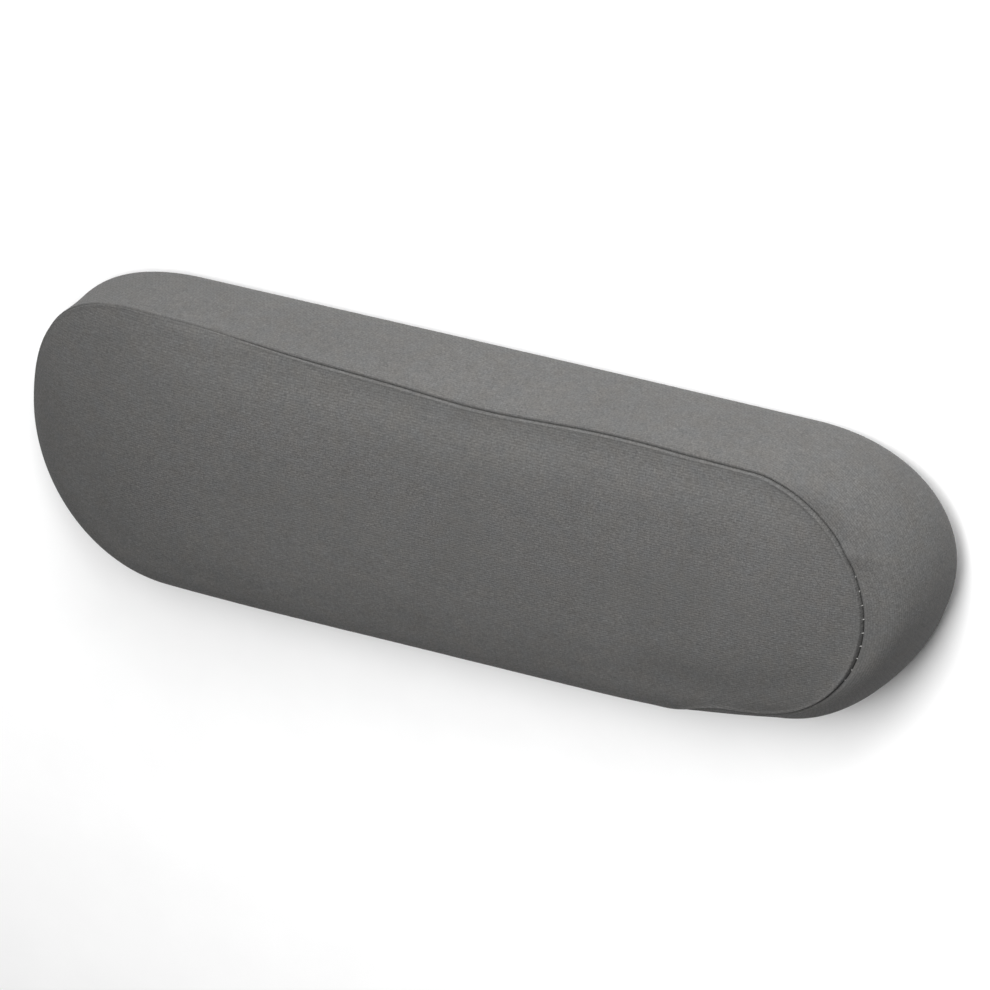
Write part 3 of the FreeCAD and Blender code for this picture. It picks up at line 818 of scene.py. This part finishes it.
# ---------------------------------------------------------------- materials
class Finish:
    """A node material with short calls for the nodes that the finishes are made of."""

    def __init__(self, name):
        self.material = bpy.data.materials.new(name)
        self.material.use_nodes = True
        self.nodes = self.material.node_tree.nodes
        self.links = self.material.node_tree.links
        self.shader = self.nodes["Principled BSDF"]

    def put(self, value, socket):
        if isinstance(value, bpy.types.NodeSocket):
            self.links.new(value, socket)
        else:
            socket.default_value = value

    def place(self):
        """Object coordinates, which are the frame's metres."""
        return self.nodes.new("ShaderNodeTexCoord").outputs["Object"]

    def stretched(self, vector, x, y, z):
        node = self.nodes.new("ShaderNodeVectorMath")
        node.operation = "MULTIPLY"
        self.put(vector, node.inputs[0])
        node.inputs[1].default_value = (x, y, z)
        return node.outputs["Vector"]

    def stored(self, name):
        node = self.nodes.new("ShaderNodeAttribute")
        node.attribute_name = name
        return node.outputs["Fac"]

    def vector(self, x, y, z):
        node = self.nodes.new("ShaderNodeCombineXYZ")
        for value, socket in zip((x, y, z), node.inputs):
            self.put(value, socket)
        return node.outputs["Vector"]

    def axis(self, vector, name):
        node = self.nodes.new("ShaderNodeSeparateXYZ")
        self.put(vector, node.inputs[0])
        return node.outputs[name]

    def maths(self, operation, first, second=0.0):
        node = self.nodes.new("ShaderNodeMath")
        node.operation = operation
        self.put(first, node.inputs[0])
        self.put(second, node.inputs[1])
        return node.outputs[0]

    def noise(self, vector, scale, detail=3.0, roughness=0.55):
        node = self.nodes.new("ShaderNodeTexNoise")
        self.put(vector, node.inputs["Vector"])
        node.inputs["Scale"].default_value = scale
        node.inputs["Detail"].default_value = detail
        node.inputs["Roughness"].default_value = roughness
        return node.outputs["Fac"]

    def cells(self, vector, scale):
        node = self.nodes.new("ShaderNodeTexVoronoi")
        self.put(vector, node.inputs["Vector"])
        node.inputs["Scale"].default_value = scale
        return node.outputs["Distance"]

    def ramp(self, value, *stops):
        """Colours by value: each stop is (place, grey) or (place, (red, green, blue))."""
        node = self.nodes.new("ShaderNodeValToRGB")
        self.put(value, node.inputs["Fac"])
        elements = node.color_ramp.elements
        while len(elements) < len(stops):
            elements.new(0.5)
        for element, (place, colour) in zip(elements, stops):
            element.position = place
            rgb = colour if isinstance(colour, tuple) else (colour, colour, colour)
            element.color = (*rgb, 1.0)
        return node.outputs["Color"]

    def mixed(self, share, first, second, kind="MIX"):
        node = self.nodes.new("ShaderNodeMix")
        node.data_type = "RGBA"
        node.blend_type = kind
        self.put(share, node.inputs["Factor"])
        self.put(first, node.inputs[6])
        self.put(second, node.inputs[7])
        return node.outputs[2]

    def finish(self, colour, roughness, height=None, depth=0.1 * MM, metallic=0.0):
        self.put(colour, self.shader.inputs["Base Color"])
        self.put(roughness, self.shader.inputs["Roughness"])
        self.shader.inputs["Metallic"].default_value = metallic
        if height is not None:
            bump = self.nodes.new("ShaderNodeBump")
            bump.inputs["Distance"].default_value = depth
            bump.inputs["Strength"].default_value = 1.0
            self.put(height, bump.inputs["Height"])
            self.links.new(bump.outputs["Normal"], self.shader.inputs["Normal"])
        return self.material


FABRIC_PITCH = 0.80 * MM


def cover_fabric():
    """Matt grey 2/1 twill of thick yarns with a slight heather and a worn-soft nap. Painted shade darkens
    the hollows between the yarns and the yarns' sides, and the yarn tops are painted lighter.
    """
    f = Finish("cover_fabric_weave")
    along = f.maths("DIVIDE", f.stored("cloth_along"), FABRIC_PITCH)
    across = f.maths("DIVIDE", f.stored("cloth_across"), FABRIC_PITCH)
    wander = f.noise(f.vector(along, across, 0.0), 0.35, 2.0)
    along = f.maths("ADD", along, f.maths("MULTIPLY", wander, 0.9))
    across = f.maths("ADD", across, f.maths("MULTIPLY", wander, 0.7))
    warp = f.maths("ABSOLUTE", f.maths("SINE", f.maths("MULTIPLY", across, math.pi)))
    weft = f.maths("ABSOLUTE", f.maths("SINE", f.maths("MULTIPLY", along, math.pi)))
    step = f.maths("ADD", f.maths("FLOOR", along), f.maths("FLOOR", across))
    over = f.maths("LESS_THAN", f.maths("FLOORED_MODULO", step, 3.0), 1.5)
    under = f.maths("SUBTRACT", 1.0, over)
    weave = f.maths("ADD", f.maths("MULTIPLY", warp, over), f.maths("MULTIPLY", weft, under))
    warp_yarn = f.noise(f.vector(f.maths("MULTIPLY", along, 0.12), f.maths("FLOOR", across), 0.0), 1.7, 2.0)
    weft_yarn = f.noise(f.vector(f.maths("FLOOR", along), f.maths("MULTIPLY", across, 0.12), 5.0), 1.7, 2.0)
    yarn = f.maths("ADD", f.maths("MULTIPLY", warp_yarn, over), f.maths("MULTIPLY", weft_yarn, under))
    fibre = f.noise(f.place(), 1500.0, 3.0, 0.75)
    patch = f.noise(f.place(), 34.0, 3.0)
    tint = f.noise(f.place(), 190.0, 2.0)
    # painted shade: hollow, side and top are shaded and lit greys of one yarn colour, darkest in the hollows
    # between the yarns and lightest on the yarn tops
    hollow, side, top = (0.055, 0.054, 0.053), (0.068, 0.067, 0.065), (0.073, 0.072, 0.070)
    warmer, cooler = (1.015, 1.0, 0.985), (0.985, 1.0, 1.02)
    shade = f.ramp(weave, (0.0, hollow), (0.4, side), (1.0, top))
    shade = f.mixed(1.0, shade, f.ramp(yarn, (0.25, 0.88), (0.75, 1.12)), "MULTIPLY")
    shade = f.mixed(1.0, shade, f.ramp(fibre, (0.28, 0.68), (0.50, 1.0), (0.72, 1.34)), "MULTIPLY")
    shade = f.mixed(1.0, shade, f.ramp(patch, (0.3, 0.96), (0.7, 1.04)), "MULTIPLY")
    shade = f.mixed(1.0, shade, f.ramp(tint, (0.3, warmer), (0.7, cooler)), "MULTIPLY")
    height = f.maths("ADD", f.maths("MULTIPLY", weave, 0.5), f.maths("MULTIPLY", fibre, 0.7))
    roughness = f.ramp(fibre, (0.2, 0.84), (0.8, 0.98))
    f.shader.inputs["Sheen Weight"].default_value = 0.05
    f.shader.inputs["Sheen Roughness"].default_value = 0.6
    f.shader.inputs["Specular IOR Level"].default_value = 0.2
    return f.finish(shade, roughness, height, 0.14 * MM)


def sewing_thread():
    """Pale grey twisted polyester thread, with painted shade in the grooves of the twist and lighter crests.
    """
    f = Finish("sewing_thread_twist")
    place = f.place()
    slant = f.maths("ADD", f.axis(place, "X"), f.maths("ADD", f.axis(place, "Y"), f.axis(place, "Z")))
    twist = f.maths("ABSOLUTE", f.maths("SINE", f.maths("MULTIPLY", slant, math.pi / (0.16 * MM))))
    fibre = f.noise(place, 9000.0, 2.0)
    # painted shade: darker in the grooves of the twist, lighter on its crests
    shade = f.ramp(twist, (0.0, (0.16, 0.158, 0.155)), (1.0, (0.36, 0.355, 0.345)))
    shade = f.mixed(1.0, shade, f.ramp(fibre, (0.3, 0.85), (0.7, 1.15)), "MULTIPLY")
    return f.finish(shade, f.ramp(fibre, (0.3, 0.5), (0.7, 0.72)), twist, 0.05 * MM)


def fibre_wadding():
    """White polyester fibre with loose tangled strands, painted greyer between the strands as shade."""
    f = Finish("fibre_wadding_tangle")
    place = f.place()
    strands = f.noise(f.stretched(place, 1.0, 4.0, 4.0), 420.0, 6.0, 0.75)
    lumps = f.noise(place, 60.0, 3.0)
    # painted shade: greyer where the strands are low, lighter on the raised strands
    shade = f.ramp(strands, (0.3, (0.52, 0.52, 0.50)), (0.65, (0.86, 0.86, 0.84)))
    height = f.maths("ADD", strands, lumps)
    return f.finish(shade, f.ramp(strands, (0.3, 0.9), (0.7, 1.0)), height, 0.5 * MM)


def foam(name, cell_size, dark, light):
    """Open-cell foam: round pores of one size, with a few larger ones. The pores are painted darker inside
    as shade.
    """
    f = Finish(name)
    place = f.place()
    pores = f.cells(place, 1 / cell_size)
    large = f.cells(place, 0.3 / cell_size)
    stain = f.noise(place, 18.0, 3.0)
    # painted shade: dark is the shaded pore colour and light is the lit colour of the cell walls, of one
    # foam colour
    shade = f.ramp(pores, (0.12, dark), (0.5, light))
    # painted shade: the larger pores are painted darker still
    shade = f.mixed(1.0, shade, f.ramp(large, (0.05, 0.7), (0.2, 1.0)), "MULTIPLY")
    shade = f.mixed(1.0, shade, f.ramp(stain, (0.3, 0.92), (0.7, 1.05)), "MULTIPLY")
    return f.finish(shade, f.ramp(pores, (0.1, 0.98), (0.5, 0.86)), pores, 0.4 * cell_size)


def plywood():
    """Birch plywood: long grain on the faces and dark glue lines between the plies at the edges."""
    f = Finish("plywood_birch")
    place = f.place()
    grain = f.noise(f.stretched(place, 1.0, 22.0, 22.0), 26.0, 6.0, 0.65)
    pores = f.noise(f.stretched(place, 1.0, 9.0, 9.0), 300.0, 2.0)
    level = f.maths("MULTIPLY", f.axis(place, "Z"), math.pi / (1.5 * MM))
    plies = f.maths("ABSOLUTE", f.maths("SINE", level))
    shade = f.ramp(grain, (0.25, (0.36, 0.22, 0.11)), (0.5, (0.55, 0.38, 0.22)), (0.8, (0.66, 0.49, 0.31)))
    shade = f.mixed(1.0, shade, f.ramp(plies, (0.0, 0.45), (0.12, 1.0)), "MULTIPLY")
    shade = f.mixed(1.0, shade, f.ramp(pores, (0.35, 0.86), (0.6, 1.03)), "MULTIPLY")
    return f.finish(shade, f.ramp(grain, (0.3, 0.72), (0.7, 0.55)), grain, 0.12 * MM)


def plated_steel(name, tint, scratch_scale):
    """Zinc-plated steel: soft spangle, fine scratches and dull patches."""
    f = Finish(name)
    place = f.place()
    spangle = f.cells(place, 900.0)
    scratches = f.noise(f.stretched(place, 1.0, 12.0, 3.0), scratch_scale, 4.0)
    dull = f.noise(place, 160.0, 3.0)
    darker = tuple(0.6 * c for c in tint)
    shade = f.ramp(spangle, (0.0, darker), (0.6, tint))
    shade = f.mixed(1.0, shade, f.ramp(dull, (0.3, 0.8), (0.7, 1.0)), "MULTIPLY")
    return f.finish(shade, f.ramp(dull, (0.3, 0.5), (0.7, 0.26)), scratches, 0.03 * MM, 1.0)


def dust_cloth_finish():
    """Black spun-bonded polypropylene, pressed with small diamond points."""
    f = Finish("dust_cloth_spunbond")
    place = f.place()
    x, y = f.axis(place, "X"), f.axis(place, "Y")
    first = f.maths("SINE", f.maths("MULTIPLY", f.maths("ADD", x, y), math.pi / (0.85 * MM)))
    second = f.maths("SINE", f.maths("MULTIPLY", f.maths("SUBTRACT", x, y), math.pi / (0.85 * MM)))
    points = f.maths("MULTIPLY", first, second)
    fibres = f.noise(place, 1500.0, 5.0, 0.75)
    cloudy = f.noise(place, 70.0, 4.0)
    shade = f.ramp(fibres, (0.3, (0.011, 0.011, 0.012)), (0.7, (0.040, 0.040, 0.043)))
    shade = f.mixed(1.0, shade, f.ramp(cloudy, (0.3, 0.75), (0.7, 1.3)), "MULTIPLY")
    height = f.maths("SUBTRACT", fibres, f.maths("MULTIPLY", points, 0.7))
    return f.finish(shade, f.ramp(points, (0.2, 0.86), (0.9, 0.42)), height, 0.12 * MM)


FINISHES = {
    "cover_fabric": cover_fabric(),
    "sewing_thread": sewing_thread(),
    "fibre_wadding": fibre_wadding(),
    # each foam's two colours are its painted shade in the pores and its lit cell walls
    "soft_foam": foam("soft_foam_cells", 0.9 * MM, (0.42, 0.36, 0.22), (0.80, 0.74, 0.55)),
    "dense_foam": foam("dense_foam_cells", 0.6 * MM, (0.16, 0.19, 0.22), (0.42, 0.47, 0.52)),
    "plywood": plywood(),
    "zinc_steel": plated_steel("zinc_plating", (0.74, 0.72, 0.66), 700.0),
    "staple_wire": plated_steel("staple_wire_finish", (0.68, 0.68, 0.70), 1600.0),
    "dust_cloth": dust_cloth_finish(),
}


def dress(piece, slot_name, *nodes):
    """Gives a piece its finish, rides it, and lets it stand for CAD nodes."""
    piece.data.materials.clear()
    piece.data.materials.append(FINISHES[slot_name])
    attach(piece, "root")
    if nodes:
        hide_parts(*nodes)
    return piece


def dress_node(name, slot_name):
    """Puts the finish on a CAD node that keeps its own shape."""
    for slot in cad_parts[name].material_slots:
        slot.material = FINISHES[slot_name]


def subdivide(piece):
    smoother = piece.modifiers.new("smoother", "SUBSURF")
    smoother.levels = 1
    smoother.render_levels = 1


# ---------------------------------------------------------------- the pieces
top_panel = dress(make_top_panel(), "cover_fabric", "top_panel")
side_band = dress(make_side_band(), "cover_fabric", "side_band")
for cover_piece in (top_panel, side_band):
    subdivide(cover_piece)
dress(make_seam_stitches(), "sewing_thread", "seam_thread")
dress(make_join_stitches(), "sewing_thread", "band_join_thread")

wadding = dress(make_wadding(), "fibre_wadding", "fibre_wrap")
comfort = dress(make_layer("comfort_foam_block", COMFORT_LOW.z, CREST_LEVEL), "soft_foam", "comfort_foam")
reliefs = [(place, BOLT_RELIEF, BOLT_RELIEF_DEPTH) for place in bolt_places()]
firm = dress(make_layer("firm_foam_block", FIRM_LOW.z, FIRM_HIGH.z, reliefs), "dense_foam", "firm_foam")

dust_cloth = dress(make_dust_cloth(), "dust_cloth", "dust_cover")

dress_node("core_board", "plywood")
dress_node("tee_nuts", "zinc_steel")
dress_node("hem_staples", "staple_wire")
dress_node("dust_cover_staples", "staple_wire")


# ---------------------------------------------------------------- floor, light and camera
def make_floor():
    half = 3.0
    corners = [(-half, -half, 0), (half, -half, 0), (half, half, 0), (-half, half, 0)]
    floor = new_object("floor", corners, [(0, 1, 2, 3)])
    f = Finish("floor_paper")
    speck = f.noise(f.place(), 40.0, 3.0)
    f.finish(f.ramp(speck, (0.3, 0.90), (0.7, 0.92)), 0.9)
    floor.data.materials.append(f.material)


def add_soft_light(name, place, size, power, target=(0.0, 0.0, 0.02)):
    light = bpy.data.lights.new(name, "AREA")
    light.shape = "DISK"
    light.size = size
    light.energy = power
    lamp = bpy.data.objects.new(name, light)
    lamp.location = place
    lamp.rotation_euler = (Vector(target) - Vector(place)).to_track_quat("-Z", "Y").to_euler()
    bpy.context.scene.collection.objects.link(lamp)


def add_world(strength):
    world = bpy.data.worlds.new("studio")
    world.use_nodes = True
    background = world.node_tree.nodes["Background"]
    background.inputs["Color"].default_value = (1.0, 1.0, 1.0, 1.0)
    background.inputs["Strength"].default_value = strength
    bpy.context.scene.world = world


VIEW_TURN = math.radians(25.5)
VIEW_LIFT = math.radians(30.0)
VIEW_DISTANCE = 3.0
AIM_RIGHT = 3.4 * MM
AIM_UP = 2.3 * MM


def add_camera():
    """Looks at the pad lying on its base so that the picture's upward direction is the pad's +Y."""
    back = Vector((
        math.sin(VIEW_TURN) * math.cos(VIEW_LIFT),
        math.sin(VIEW_LIFT),
        math.cos(VIEW_TURN) * math.cos(VIEW_LIFT),
    ))
    up = (Vector((0, 1, 0)) - back * back.y).normalized()
    right = up.cross(back)
    middle = Vector((0, 0, CAD_HIGH.z / 2))
    camera_data = bpy.data.cameras.new("camera")
    camera_data.lens = 354.5
    camera_data.sensor_width = 36
    camera_data.clip_end = 20
    camera = bpy.data.objects.new("camera", camera_data)
    turned = Matrix((right, up, back)).transposed().to_4x4()
    aim = middle + right * AIM_RIGHT + up * AIM_UP
    camera.matrix_world = Matrix.Translation(aim + back * VIEW_DISTANCE) @ turned
    bpy.context.scene.collection.objects.link(camera)
    bpy.context.scene.camera = camera


make_floor()
add_world(0.25)
add_soft_light("key_from_far_side", (0.20, 0.82, 0.37), 0.7, 10.5)
add_soft_light("light_from_above", (0.10, 0.32, 0.62), 0.45, 6.0)
add_camera()
bpy.context.scene.view_settings.view_transform = "Standard"
